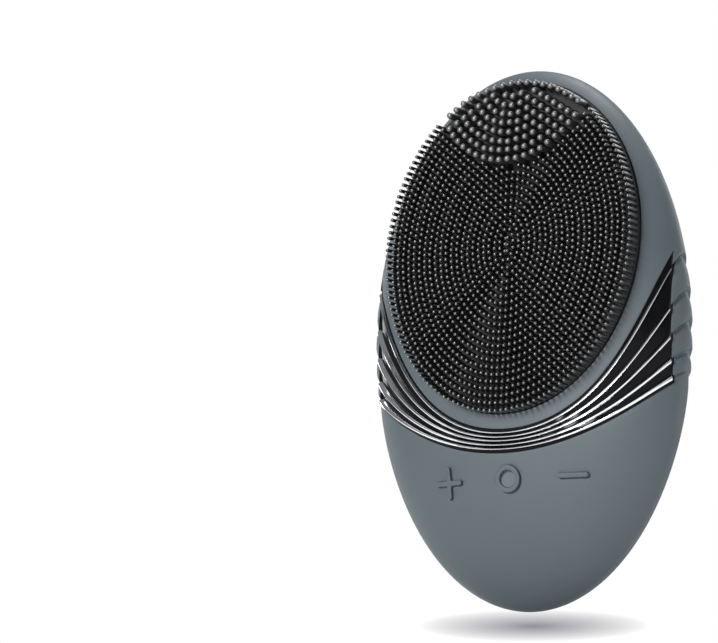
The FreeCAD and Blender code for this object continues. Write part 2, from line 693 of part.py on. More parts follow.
pieces = {
    "front_skin": front_skin(),
    "rear_skin": rear_skin(),
    "bristle_pad": bristle_pad(),
    "trim_band": trim_band(),
    "massage_panel": massage_panel(),
    "lower_panel": lower_panel(),
    "port_plug": port_plug(),
    "front_shell": front_shell(),
    "rear_shell": rear_shell(),
    "seam_gasket": seam_gasket(),
    "light_pipe": light_pipe(),
    "charge_led": charge_led(),
    "main_board": main_board(),
    "charge_socket": charge_socket(),
    "battery_cell": battery_cell(),
    "battery_foam": battery_foam(),
    "battery_tray": battery_tray(),
    "motor_can": motor_can(),
    "motor_sleeve": motor_sleeve(),
    "motor_shaft": motor_shaft(),
    "eccentric_weight": eccentric_weight(),
    "motor_clamp": motor_clamp(),
    "battery_leads": battery_leads(),
    "motor_leads": motor_leads(),
    "shell_screws": screw_group(SCREW_SPOTS, SHELL_SCREW_HEAD_Y, SHELL_SCREW_TIP_Y, SCREW_RADIUS, 1.7, 1.1),
    "board_screws": screw_group(BOARD_SPOTS, BOARD_Y[1], SMALL_SCREW_TIP_Y, SMALL_SCREW_RADIUS, 1.2, 0.7),
    "tray_screws": screw_group(TRAY_SPOTS, TRAY_FLOOR_TOP, SMALL_SCREW_TIP_Y, SMALL_SCREW_RADIUS, 1.2, 0.7),
    "clamp_screws": clamp_screws(),
}
for index in range(5):
    pieces["chrome_rib_%d" % (index + 1)] = chrome_rib(index)
for name in KEY_X:
    pieces[name + "_key"] = key(name)
    pieces[name + "_switch"] = switch_body(name)
    pieces[name + "_plunger"] = switch_plunger(name)

os.makedirs("parts", exist_ok=True)
for name, shape in pieces.items():
    box = shape.BoundBox
    print("%-18s solids %d valid %s volume %8.1f  x %6.1f %6.1f  y %6.1f %6.1f  z %6.1f %6.1f" % (
        name, len(shape.Solids), shape.isValid(), shape.Volume,
        box.XMin, box.XMax, box.YMin, box.YMax, box.ZMin, box.ZMax))
    shape.exportStep("parts/%s.step" % name)
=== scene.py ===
import math
import random

import bpy
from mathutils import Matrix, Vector


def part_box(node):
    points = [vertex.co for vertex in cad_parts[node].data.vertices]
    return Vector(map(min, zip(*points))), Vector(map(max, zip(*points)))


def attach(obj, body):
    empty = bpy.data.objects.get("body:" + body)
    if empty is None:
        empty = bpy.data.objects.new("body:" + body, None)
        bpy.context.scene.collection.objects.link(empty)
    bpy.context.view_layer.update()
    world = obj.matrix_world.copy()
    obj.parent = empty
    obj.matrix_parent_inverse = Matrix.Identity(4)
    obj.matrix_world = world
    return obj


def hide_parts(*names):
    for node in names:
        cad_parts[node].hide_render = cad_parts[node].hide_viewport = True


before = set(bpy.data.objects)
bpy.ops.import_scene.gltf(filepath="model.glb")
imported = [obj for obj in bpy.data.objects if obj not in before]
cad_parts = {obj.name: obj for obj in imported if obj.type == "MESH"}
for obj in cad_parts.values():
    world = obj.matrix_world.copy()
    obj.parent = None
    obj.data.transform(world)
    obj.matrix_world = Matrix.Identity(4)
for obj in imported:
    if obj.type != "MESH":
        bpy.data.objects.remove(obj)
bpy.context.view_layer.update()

bpy.ops.object.select_all(action="DESELECT")


# Camera, floor and light
# A long lens looks at the brush side from the right and a little below, with room beside the brush.
# The pale paper floor lies under the lower tip and can't be seen from underneath, where a round card
# with a faded dark middle gives the soft shadow instead.

MM = 0.001
skin_low, skin_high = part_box("rear_skin")
HALF_WIDTH = skin_high.x / MM
HALF_LENGTH = (skin_high.z - skin_low.z) / 2 / MM
MIDDLE_Z = (skin_high.z + skin_low.z) / 2 / MM

VIEW_TURN = math.radians(28.5)
VIEW_TILT = math.radians(-8.6)
VIEW_DISTANCE = 1.0
ROOM_BESIDE = 0.0381
ROOM_ABOVE = 0.0042
LENS = 228
FLOOR_DROP = 0.0004
CARD_DROP = 0.0031
middle = Vector((0, 0, MIDDLE_Z * MM))
back = Vector((math.sin(VIEW_TURN) * math.cos(VIEW_TILT),
               -math.cos(VIEW_TURN) * math.cos(VIEW_TILT), math.sin(VIEW_TILT)))
across = Vector((math.cos(VIEW_TURN), math.sin(VIEW_TURN), 0))
upward = back.cross(across)
aim = middle - across * ROOM_BESIDE + upward * ROOM_ABOVE
eye = middle + back * VIEW_DISTANCE
bpy.ops.object.camera_add(location=eye)
camera = bpy.context.active_object
camera.name = "camera"
camera.data.lens = LENS
camera.data.clip_start = 0.01
camera.data.clip_end = 50
camera.rotation_mode = "QUATERNION"
camera.rotation_quaternion = (aim - eye).to_track_quat("-Z", "Y")
bpy.context.scene.camera = camera
bpy.context.scene.view_settings.view_transform = "Standard"


def softbox(name, place, size, height, power, tint=(1, 1, 1)):
    """Rectangular studio light aimed at the middle of the brush."""
    bpy.ops.object.light_add(type="AREA", location=place)
    lamp = bpy.context.active_object
    lamp.name = name
    lamp.data.shape = "RECTANGLE"
    lamp.data.size = size
    lamp.data.size_y = height
    lamp.data.energy = power
    lamp.data.color = tint
    lamp.rotation_euler = (middle - Vector(place)).to_track_quat("-Z", "Y").to_euler()
    return lamp


softbox("key_light", (-0.22, -1.00, 0.42), 0.36, 0.36, 14.0)
softbox("top_light", (0.10, 0.15, 0.95), 0.7, 0.5, 6.5)
softbox("right_strip", (0.85, 0.36, -0.20), 0.14, 0.8, 8.0, (0.95, 0.95, 1.0))
softbox("left_strip", (-0.85, 0.30, 0.10), 0.15, 0.9, 1.5)
softbox("back_light", (0.35, 0.95, 0.45), 0.7, 0.6, 4.0)

world = bpy.data.worlds.new("studio")
bpy.context.scene.world = world
world.use_nodes = True
nodes, links = world.node_tree.nodes, world.node_tree.links
nodes.clear()
seen = nodes.new("ShaderNodeBackground")
seen.inputs["Color"].default_value = (1, 1, 1, 1)
room = nodes.new("ShaderNodeBackground")
room.inputs["Color"].default_value = (0.22, 0.225, 0.23, 1)
rays = nodes.new("ShaderNodeLightPath")
mix = nodes.new("ShaderNodeMixShader")
sky = nodes.new("ShaderNodeOutputWorld")
links.new(rays.outputs["Is Camera Ray"], mix.inputs[0])
links.new(room.outputs[0], mix.inputs[1])
links.new(seen.outputs[0], mix.inputs[2])
links.new(mix.outputs[0], sky.inputs[0])

bpy.ops.mesh.primitive_plane_add(size=8, location=(0, 0, skin_low.z - FLOOR_DROP))
floor = bpy.context.active_object
floor.name = "floor"
paper = bpy.data.materials.new("pale_paper")
paper.use_nodes = True
nodes, links = paper.node_tree.nodes, paper.node_tree.links
matt = nodes["Principled BSDF"]
matt.inputs["Base Color"].default_value = (0.88, 0.88, 0.88, 1)
matt.inputs["Roughness"].default_value = 0.9
clear = nodes.new("ShaderNodeBsdfTransparent")
facing = nodes.new("ShaderNodeNewGeometry")
mix = nodes.new("ShaderNodeMixShader")
links.new(facing.outputs["Backfacing"], mix.inputs[0])
links.new(matt.outputs[0], mix.inputs[1])
links.new(clear.outputs[0], mix.inputs[2])
links.new(mix.outputs[0], nodes["Material Output"].inputs["Surface"])
floor.data.materials.append(paper)

bpy.ops.mesh.primitive_plane_add(size=1, location=(0, 0, skin_low.z - CARD_DROP))
shade_card = bpy.context.active_object
shade_card.name = "soft_shadow"
shade_card.dimensions = (0.052, 0.080, 0)
shade_card.rotation_euler.z = VIEW_TURN
bpy.ops.object.transform_apply(location=False, rotation=False, scale=True)
shade = bpy.data.materials.new("soft_shadow")
shade.use_nodes = True
nodes, links = shade.node_tree.nodes, shade.node_tree.links
place = nodes.new("ShaderNodeTexCoord")
stretch = nodes.new("ShaderNodeMapping")
stretch.vector_type = "TEXTURE"
stretch.inputs["Scale"].default_value = (0.0248, 0.0390, 1)
distance = nodes.new("ShaderNodeTexGradient")
distance.gradient_type = "SPHERICAL"
fade = nodes.new("ShaderNodeMath")
fade.operation = "POWER"
fade.inputs[1].default_value = 0.75
veil = nodes.new("ShaderNodeMath")
veil.operation = "MULTIPLY"
veil.inputs[1].default_value = 0.82
ink = nodes.new("ShaderNodeEmission")
ink.inputs["Color"].default_value = (0.12, 0.12, 0.17, 1)
clear = nodes.new("ShaderNodeBsdfTransparent")
facing = nodes.new("ShaderNodeNewGeometry")
from_below = nodes.new("ShaderNodeMath")
from_below.operation = "MULTIPLY"
mix = nodes.new("ShaderNodeMixShader")
links.new(place.outputs["Object"], stretch.inputs["Vector"])
links.new(stretch.outputs[0], distance.inputs["Vector"])
links.new(distance.outputs["Fac"], fade.inputs[0])
links.new(fade.outputs[0], veil.inputs[0])
links.new(veil.outputs[0], from_below.inputs[0])
links.new(facing.outputs["Backfacing"], from_below.inputs[1])
links.new(from_below.outputs[0], mix.inputs[0])
links.new(clear.outputs[0], mix.inputs[1])
links.new(ink.outputs[0], mix.inputs[2])
links.new(mix.outputs[0], nodes["Material Output"].inputs["Surface"])
shade_card.data.materials.append(shade)


# Silicone skins
# Two halves moulded in slate-grey soft-touch silicone wrap the hard shells and meet on the seam.
# The waist belt is moulded in: five grooves fan out from the middle and open into lapped lobes.
# The windows for the pad, trim, keys, panels, light and stopper are cut through them.

FRONT_DEPTH = 13.2
REAR_DEPTH = 9.8
SKIN = 1.5
BELT_CENTRE_Z = [10.1, 9.2, 8.4, 7.5, 6.6]
BELT_SIDE_Z = [51.8, 40.8, 33.2, 27.0, 22.6]
TOP_Z = MIDDLE_Z + HALF_LENGTH
BOTTOM_Z = MIDDLE_Z - HALF_LENGTH
FAR = 30
SEAM_ROOM = 0.6
GROOVE_STEPS = [-0.5, -0.34, -0.2, -0.08, 0.0, 0.08, 0.2, 0.34, 0.5]
LOBE_STEPS = [0.06, 0.16, 0.3, 0.46, 0.62, 0.76, 0.88, 0.96]


def only(piece):
    """Selects one piece and makes it the active one."""
    bpy.ops.object.select_all(action="DESELECT")
    piece.select_set(True)
    bpy.context.view_layer.objects.active = piece


def keep(name):
    """Names the piece just added and puts its place into its mesh."""
    piece = bpy.context.active_object
    piece.name = name
    bpy.ops.object.transform_apply(location=True, rotation=True, scale=True)
    return piece


def shape_with(piece, kind, **settings):
    """Adds one modifier and applies it."""
    only(piece)
    modifier = piece.modifiers.new(kind.lower(), kind)
    for key, value in settings.items():
        setattr(modifier, key, value)
    bpy.ops.object.modifier_apply(modifier=modifier.name)


def carve(piece, cutter, operation="DIFFERENCE"):
    """Cuts one closed shape with another, which is used up."""
    shape_with(piece, "BOOLEAN", object=cutter, operation=operation, solver="EXACT")
    bpy.data.objects.remove(cutter)


def smooth(piece, angle=35):
    """Smooth shading, with small rounded edges bending into the large faces and not the other way."""
    only(piece)
    bpy.ops.object.shade_smooth_by_angle(angle=math.radians(angle), keep_sharp_edges=False)
    shape_with(piece, "WEIGHTED_NORMAL", mode="FACE_AREA", weight=50, keep_sharp=True)


def belt_line(index, x):
    """Height of one belt line at distance x from the middle."""
    t = (x / HALF_WIDTH) ** 2
    bow = 0.42 - 0.09 * index
    rise = BELT_SIDE_Z[index] - BELT_CENTRE_Z[index]
    return BELT_CENTRE_Z[index] + rise * ((1 - bow) * t + bow * t * t)


def belt_width(x):
    """A belt line is finest at the middle, where all five run close together."""
    return 0.45 + 0.75 * abs(x) / HALF_WIDTH


def sideways(x):
    """0 over the middle of the body, rising smoothly to 1 at its sides."""
    t = min(1, max(0, (abs(x) - 8) / (HALF_WIDTH - 10)))
    return t * t * (3 - 2 * t)


def groove_depth(x):
    """The grooves deepen towards the sides."""
    return 0.26 + 0.12 * sideways(x)


def lap(x):
    """How far the upper edge of a lobe tucks in under the one above."""
    return 0.75 * sideways(x)


def deep(side):
    """Depth of the body in front of (-1) or behind (+1) the seam."""
    return FRONT_DEPTH if side < 0 else REAR_DEPTH


def body_y(side, x, z, inset=0.0):
    """Surface of the body, or of the smaller body that lies inset under it."""
    t = (x / (HALF_WIDTH - inset)) ** 2 + ((z - MIDDLE_Z) / (HALF_LENGTH - inset)) ** 2
    return side * (deep(side) - inset) * math.sqrt(max(0.0, 1 - t))


def on_body(side, x, z, drop):
    """Point on the body, let in by drop along the surface's own normal."""
    y = body_y(side, x, z)
    normal = Vector((x / HALF_WIDTH ** 2, y / deep(side) ** 2, (z - MIDDLE_Z) / HALF_LENGTH ** 2))
    return (Vector((x, y, z)) - normal.normalized() * drop) * MM


def reach(height):
    """How far out from the middle a row of the skin meets the seam."""
    inner, outer = 0.0, HALF_WIDTH
    for _ in range(40):
        x = (inner + outer) / 2
        if (x / HALF_WIDTH) ** 2 + ((height(x) - MIDDLE_Z) / HALF_LENGTH) ** 2 < 1:
            inner = x
        else:
            outer = x
    return inner


def skin_rows():
    """Rows of the skin from the lower tip to the upper one, each a height and a drop over x."""
    rows = []

    def low_part(s):
        def height(x):
            rise = belt_line(4, x) - BELT_CENTRE_Z[4]
            return BOTTOM_Z + s * (BELT_CENTRE_Z[4] - BOTTOM_Z) + s ** 1.2 * rise - s * belt_width(x) / 2

        def drop(x):
            gap = belt_line(4, x) - belt_width(x) / 2 - height(x)
            return 0.55 * lap(x) * math.exp(-gap / 3.0)
        return height, drop

    def groove(i, step):
        tuck = 1.0 if i < 4 else 0.55

        def height(x):
            return belt_line(i, x) + step * belt_width(x)

        def drop(x):
            ramp = tuck * lap(x) * (0.5 - step)
            return ramp + groove_depth(x) * math.cos(math.pi * step) ** 2
        return height, drop

    def lobe(i, step):
        def height(x):
            low = belt_line(i + 1, x) + belt_width(x) / 2
            high = belt_line(i, x) - belt_width(x) / 2
            return low + (high - low) * step

        def drop(x):
            return lap(x) * step ** 2.2
        return height, drop

    def high_part(s):
        def height(x):
            rise = belt_line(0, x) - BELT_CENTRE_Z[0]
            start = BELT_CENTRE_Z[0] + s * (TOP_Z - BELT_CENTRE_Z[0])
            return start + (1 - s) ** 1.1 * rise + (1 - s) * belt_width(x) / 2

        def drop(x):
            return 0.0
        return height, drop

    low_steps, low_turn = 40, math.acos((MIDDLE_Z - BELT_CENTRE_Z[4]) / HALF_LENGTH)
    high_steps, high_turn = 64, math.acos((BELT_CENTRE_Z[0] - MIDDLE_Z) / HALF_LENGTH)
    rows += [low_part((1 - math.cos(low_turn * i / low_steps)) / (1 - math.cos(low_turn)))
             for i in range(low_steps)]
    for i in (4, 3, 2, 1, 0):
        rows += [groove(i, step) for step in GROOVE_STEPS]
        if i:
            rows += [lobe(i - 1, step) for step in LOBE_STEPS]
    rows += [high_part(1 - (1 - math.cos(high_turn * (1 - i / high_steps))) / (1 - math.cos(high_turn)))
             for i in range(1, high_steps + 1)]
    return rows


def lay_sheet(name, side, rows, columns, thick=SKIN, ends=reach):
    """A wall laid over one side of the body row by row, plain inside and closed all round."""
    bpy.ops.mesh.primitive_grid_add(x_subdivisions=columns, y_subdivisions=len(rows) - 1, size=1)
    sheet = keep(name)
    reaches = [ends(height) for height, drop in rows]
    places = []
    for corner in sheet.data.vertices:
        row = round((corner.co.y + 0.5) * (len(rows) - 1))
        height, drop = rows[row]
        x = -side * reaches[row] * math.sin(corner.co.x * math.pi)
        places.append((x, height(x), drop(x)))
    shape_with(sheet, "SOLIDIFY", thickness=thick * MM, offset=-1)
    for corner, (x, z, drop) in zip(sheet.data.vertices, places):
        corner.co = on_body(side, x, z, drop)
    for corner, (x, z, drop) in zip(sheet.data.vertices[len(places):], places):
        corner.co = Vector((x * (1 - thick / HALF_WIDTH), body_y(side, x, z) * (1 - thick / deep(side)),
                            MIDDLE_Z + (z - MIDDLE_Z) * (1 - thick / HALF_LENGTH))) * MM
    only(sheet)
    bpy.ops.object.mode_set(mode="EDIT")
    bpy.ops.mesh.select_all(action="SELECT")
    bpy.ops.mesh.remove_doubles(threshold=1e-6)
    bpy.ops.mesh.normals_make_consistent(inside=False)
    bpy.ops.object.mode_set(mode="OBJECT")
    return sheet


def column_of(name, outline, y_low, y_high):
    """Closed column along Y over an outline of (x, z) points."""
    bpy.ops.mesh.primitive_circle_add(vertices=len(outline), radius=1, fill_type="NGON")
    column = keep(name)
    for corner, (x, z) in zip(column.data.vertices, outline):
        corner.co = Vector((x, y_low, z)) * MM
    bpy.ops.object.mode_set(mode="EDIT")
    bpy.ops.mesh.select_all(action="SELECT")
    bpy.ops.mesh.extrude_region_move(TRANSFORM_OT_translate={"value": (0, (y_high - y_low) * MM, 0)})
    bpy.ops.mesh.select_all(action="SELECT")
    bpy.ops.mesh.normals_make_consistent(inside=False)
    bpy.ops.object.mode_set(mode="OBJECT")
    return column


def oval(half_x, half_z, x, z, count):
    """Points round an ellipse."""
    turns = [2 * math.pi * i / count for i in range(count)]
    return [(x + half_x * math.cos(t), z + half_z * math.sin(t)) for t in turns]


def side_column(name, outline, side):
    """Column that runs from the seam plane out past one side of the body."""
    return column_of(name, outline, -FAR if side < 0 else SEAM_ROOM, -SEAM_ROOM if side < 0 else FAR)


def ease_edges(piece, width, steps=2, angle=50):
    """Rounds the sharp edges left by moulding cut-outs, once slivers along them are closed up."""
    only(piece)
    bpy.ops.object.mode_set(mode="EDIT")
    bpy.ops.mesh.select_all(action="SELECT")
    bpy.ops.mesh.remove_doubles(threshold=0.035 * MM)
    bpy.ops.mesh.dissolve_degenerate(threshold=0.02 * MM)
    bpy.ops.object.mode_set(mode="OBJECT")
    shape_with(piece, "BEVEL", width=width * MM, segments=steps, limit_method="ANGLE",
               angle_limit=math.radians(angle), use_clamp_overlap=False)


PAD_HALF_WIDTH = 30.6
PAD_HALF_HEIGHT = 37.5
PAD_Z = 51.5
TRIM_HALF_WIDTH = 36.4
PANEL_HALF_WIDTH = 30.0
PANEL_HALF_HEIGHT = 52.3
PANEL_Z = 29.7
ISLAND_HALF_WIDTH = 5.0
KEY_X = {"plus": -15.3, "power": 0.0, "minus": 15.3}
KEY_BAR = 1.1
KEY_SPAN = 7.0
KEY_RING = 6.0
KEY_GAP = 0.06
LIGHT_Z = -3.9
LIGHT_RADIUS = 2.05
PLUG_HALF_WIDTH = 2.3
PLUG_ROUND_Z = (-16.2, -24.2)
PLUG_DEPTH_Y = 0.9
BOLT_DEPTH = 0.35
BOLT = [(0.5, -7.4), (-1.1, -10.5), (-0.15, -10.5), (-0.5, -13.0), (1.1, -9.8), (0.15, -9.8)]


def trim_top(x, gap=0.0):
    """Upper edge of the black trim, which turns up at its tips."""
    return belt_line(0, x) + 0.8 + 3.0 * (x / TRIM_HALF_WIDTH) ** 4 - gap


def trim_bottom(x, gap=0.0):
    """Lower edge of the black trim."""
    return belt_line(4, x) - 1.0 + gap


def trim_outline(gap):
    """Fan under the pad, from tip to tip along its foot and back along its top."""
    end = TRIM_HALF_WIDTH - gap
    places = [end * math.sin(math.pi * (i / 60 - 0.5)) for i in range(61)]
    foot = [(x, trim_bottom(x, gap)) for x in places]
    head = [(x, trim_top(x, gap)) for x in reversed(places)]
    return foot + head


def panel_outline(gap):
    """Half ellipse above, closed below along the first belt line."""
    wide, tall = PANEL_HALF_WIDTH - gap, PANEL_HALF_HEIGHT - gap
    above, below = 0.0, math.pi
    for _ in range(40):
        turn = (above + below) / 2
        if PANEL_Z + tall * math.cos(turn) > belt_line(0, wide * math.sin(turn)) + gap:
            above = turn
        else:
            below = turn
    crown = [above * (1 - 2 * i / 110) for i in range(111)]
    points = [(wide * math.sin(t), PANEL_Z + tall * math.cos(t)) for t in crown]
    corner = wide * math.sin(above)
    places = [-corner + 2 * corner * i / 70 for i in range(1, 70)]
    return points + [(x, belt_line(0, x) + gap) for x in places]


def arc_points(start, through, end, count):
    """Points along the circle through three places, without the last."""
    (ax, ay), (bx, by), (cx, cy) = start, through, end
    d = 2 * (ax * (by - cy) + bx * (cy - ay) + cx * (ay - by))
    a2, b2, c2 = ax * ax + ay * ay, bx * bx + by * by, cx * cx + cy * cy
    ux = (a2 * (by - cy) + b2 * (cy - ay) + c2 * (ay - by)) / d
    uy = (a2 * (cx - bx) + b2 * (ax - cx) + c2 * (bx - ax)) / d
    radius = math.hypot(ax - ux, ay - uy)
    first = math.atan2(ay - uy, ax - ux)
    half = (math.atan2(by - uy, bx - ux) - first + math.pi) % (2 * math.pi) - math.pi
    rest = (math.atan2(cy - uy, cx - ux) - first - half + math.pi) % (2 * math.pi) - math.pi
    turns = [first + (half + rest) * i / count for i in range(count)]
    return [(ux + radius * math.cos(t), uy + radius * math.sin(t)) for t in turns]


def lower_outline(gap):
    """Butterfly shape: two lobes hang from an arched top edge, either side of the island."""
    inner = ISLAND_HALF_WIDTH + gap
    island_z, round_z = -4.7, -12.6
    top, tip_x, tip_z = 5.6 - gap, 26.5 - 1.5 * gap, 12.0 - gap
    lobe_x, lobe_z = 8.6, -15.7 + gap
    right = [(inner, island_z)]
    right += arc_points((inner, round_z), (6.0 + gap / 2, lobe_z + 0.9), (lobe_x, lobe_z), 12)
    right += arc_points((lobe_x, lobe_z), (20.4 - gap, -4.0), (tip_x - 0.4, tip_z - 0.9), 40)
    right += arc_points((tip_x - 0.4, tip_z - 0.9), (tip_x - 0.2, tip_z - 0.1),
                        (tip_x - 1.0, tip_z - 0.3), 5)
    edge = arc_points((tip_x - 1.0, tip_z - 0.3), (0, top), (1.0 - tip_x, tip_z - 0.3), 60)
    left = [(-x, z) for x, z in reversed(right)]
    island = arc_points((-inner, island_z), (0, island_z + inner), (inner, island_z), 24)
    return right + edge + [(1.0 - tip_x, tip_z - 0.3)] + left + island[1:]


def plug_outline(gap):
    """Slot with round ends, where the port's stopper sits."""
    half = PLUG_HALF_WIDTH - gap
    turns = [math.pi * i / 16 for i in range(17)]
    high = [(half * math.cos(t), PLUG_ROUND_Z[0] + half * math.sin(t)) for t in turns]
    low = [(-x, PLUG_ROUND_Z[0] + PLUG_ROUND_Z[1] - z) for x, z in high]
    return high + low


def bar_outline(x, arms, extra):
    """Round-ended arms of a key mark about its centre: two make the minus, four the plus."""
    half, thick = KEY_SPAN / 2 + extra, KEY_BAR / 2 + extra
    points = []
    for arm in range(arms):
        turn = 2 * math.pi * arm / arms
        end = [(half - thick + thick * math.cos(t), thick * math.sin(t))
               for t in [math.pi * (i / 10 - 0.5) for i in range(11)]]
        if arms == 4:
            end.append((thick, thick))
        points += [(x + u * math.cos(turn) - v * math.sin(turn), u * math.sin(turn) + v * math.cos(turn))
                   for u, v in end]
    return points


def effect(name, outputs, inputs):
    """An empty shader group with named sockets, as (group, entry, exit)."""
    group = bpy.data.node_groups.new(name, "ShaderNodeTree")
    for socket, kind, value in inputs:
        made = group.interface.new_socket(socket, in_out="INPUT", socket_type=kind)
        made.default_value = value
    for socket, kind in outputs:
        group.interface.new_socket(socket, in_out="OUTPUT", socket_type=kind)
    entry = group.nodes.new("NodeGroupInput")
    leave = group.nodes.new("NodeGroupOutput")
    return group, entry, leave


def wire(tree, source, target):
    """Joins two sockets."""
    tree.links.new(source, target)


# fine pebble of a spark-eroded mould, and the slow unevenness of the surface
grain, entry, leave = effect("mould_grain",
                             [("Height", "NodeSocketFloat"), ("Uneven", "NodeSocketFloat")],
                             [("Size", "NodeSocketFloat", 2500.0), ("Slow", "NodeSocketFloat", 90.0)])
place = grain.nodes.new("ShaderNodeTexCoord")
fine = grain.nodes.new("ShaderNodeTexNoise")
fine.inputs["Detail"].default_value = 3.0
fine.inputs["Roughness"].default_value = 0.6
slow = grain.nodes.new("ShaderNodeTexNoise")
slow.inputs["Detail"].default_value = 2.0
for noise, size in ((fine, "Size"), (slow, "Slow")):
    wire(grain, place.outputs["Object"], noise.inputs["Vector"])
    wire(grain, entry.outputs[size], noise.inputs["Scale"])
wire(grain, fine.outputs["Fac"], leave.inputs["Height"])
wire(grain, slow.outputs["Fac"], leave.inputs["Uneven"])

# lint and skin dust, which silicone picks up in small pale specks
dust, entry, leave = effect("dust", [("Mask", "NodeSocketFloat")],
                            [("Size", "NodeSocketFloat", 420.0), ("Amount", "NodeSocketFloat", 0.06)])
place = dust.nodes.new("ShaderNodeTexCoord")
cells = dust.nodes.new("ShaderNodeTexVoronoi")
spots = dust.nodes.new("ShaderNodeMapRange")
spots.inputs["From Min"].default_value = 0.0
spots.inputs["To Min"].default_value = 1.0
spots.inputs["To Max"].default_value = 0.0
wire(dust, place.outputs["Object"], cells.inputs["Vector"])
wire(dust, entry.outputs["Size"], cells.inputs["Scale"])
wire(dust, cells.outputs["Distance"], spots.inputs["Value"])
wire(dust, entry.outputs["Amount"], spots.inputs["From Max"])
wire(dust, spots.outputs["Result"], leave.inputs["Mask"])


def finish_of(name, dark, light, rough_low, rough_high, grain_size, bump,
              dust_amount=0.0, slow=90.0, **fixed):
    """A moulded finish: two close shades, uneven gloss, fine grain and a little dust."""
    material = bpy.data.materials.new(name)
    material.use_nodes = True
    tree = material.node_tree
    shader = tree.nodes["Principled BSDF"]
    for socket, value in fixed.items():
        shader.inputs[socket.replace("_", " ")].default_value = value
    body = tree.nodes.new("ShaderNodeGroup")
    body.node_tree = grain
    body.inputs["Size"].default_value = grain_size
    body.inputs["Slow"].default_value = slow
    shade = tree.nodes.new("ShaderNodeMix")
    shade.data_type = "RGBA"
    shade.inputs["A"].default_value = (*dark, 1)
    shade.inputs["B"].default_value = (*light, 1)
    wire(tree, body.outputs["Uneven"], shade.inputs["Factor"])
    colour = shade.outputs["Result"]
    if dust_amount:
        lint = tree.nodes.new("ShaderNodeGroup")
        lint.node_tree = dust
        lint.inputs["Amount"].default_value = dust_amount
        speck = tree.nodes.new("ShaderNodeMix")
        speck.data_type = "RGBA"
        speck.inputs["B"].default_value = (0.3, 0.3, 0.3, 1)
        wire(tree, lint.outputs["Mask"], speck.inputs["Factor"])
        wire(tree, colour, speck.inputs["A"])
        colour = speck.outputs["Result"]
    wire(tree, colour, shader.inputs["Base Color"])
    gloss = tree.nodes.new("ShaderNodeMapRange")
    gloss.inputs["From Min"].default_value = 0.3
    gloss.inputs["From Max"].default_value = 0.7
    gloss.inputs["To Min"].default_value = rough_low
    gloss.inputs["To Max"].default_value = rough_high
    wire(tree, body.outputs["Uneven"], gloss.inputs["Value"])
    wire(tree, gloss.outputs["Result"], shader.inputs["Roughness"])
    if bump:
        relief = tree.nodes.new("ShaderNodeBump")
        relief.inputs["Strength"].default_value = 1.0
        relief.inputs["Distance"].default_value = bump * MM
        wire(tree, body.outputs["Height"], relief.inputs["Height"])
        wire(tree, relief.outputs["Normal"], shader.inputs["Normal"])
    return material


slate = finish_of("slate_silicone", (0.054, 0.072, 0.083), (0.061, 0.080, 0.091), 0.46, 0.58,
                  3200, 0.010, dust_amount=0.03, Sheen_Weight=0.06, Sheen_Roughness=0.4)

front = lay_sheet("front_skin_visible", -1, skin_rows(), 150)
rear = lay_sheet("rear_skin_visible", 1, skin_rows(), 150)
carve(front, side_column("pad_window", oval(PAD_HALF_WIDTH, PAD_HALF_HEIGHT, 0, PAD_Z, 220), -1))
carve(front, side_column("trim_window", trim_outline(0.0), -1))
carve(front, side_column("minus_window", bar_outline(KEY_X["minus"], 2, KEY_GAP), -1))
carve(front, side_column("plus_window", bar_outline(KEY_X["plus"], 4, KEY_GAP), -1))
ring_room = KEY_RING / 2 + KEY_GAP
carve(front, side_column("power_window", oval(ring_room, ring_room, 0, 0, 64), -1))
carve(rear, side_column("panel_window", panel_outline(0.0), 1))
carve(rear, side_column("lower_window", lower_outline(0.0), 1))
carve(rear, side_column("light_window", oval(LIGHT_RADIUS, LIGHT_RADIUS, 0, LIGHT_Z, 48), 1))
carve(rear, column_of("plug_window", plug_outline(0.0), PLUG_DEPTH_Y, FAR))
for half, rounding in ((front, 0.07), (rear, 0.14)):
    ease_edges(half, rounding)
carve(rear, column_of("bolt_recess", BOLT, body_y(1, 0, -10.2) - BOLT_DEPTH, FAR))
for half in (front, rear):
    smooth(half)
    half.data.materials.clear()
    half.data.materials.append(slate)
    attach(half, "handset")
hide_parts("front_skin")
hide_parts("rear_skin")


# Bristle pad
# One soft charcoal silicone moulding on a flat let into the front: a thin sheet and its bristles.
# Fine bristles run in rings that follow the edge, and longer thick ones stand in arcs under the top.

PAD_GAP = 0.15
PAD_FOOT_Y = -12.6
PAD_HEAD_Y = -4.1
FINE_LENGTH = 3.6
FINE_RADIUS = 0.43
FINE_PITCH = 1.36
RING_STEP_X = 1.35
RING_STEP_Z = 1.58
THICK_LENGTH = 5.8
THICK_RADIUS = 0.74
THICK_PITCH = 2.06
THICK_ARC = 18.4
EDGE_INSET = 0.6
ROOT_SUNK = 0.2
SHEET_THICK = 1.2
PAD_TOP = PAD_Z + PAD_HALF_HEIGHT

random.seed(7)


def pad_flat_y(z):
    """The flat leans back from the foot of the pad to its head."""
    return PAD_FOOT_Y + (PAD_HEAD_Y - PAD_FOOT_Y) * (z - PAD_Z + PAD_HALF_HEIGHT) / (2 * PAD_HALF_HEIGHT)


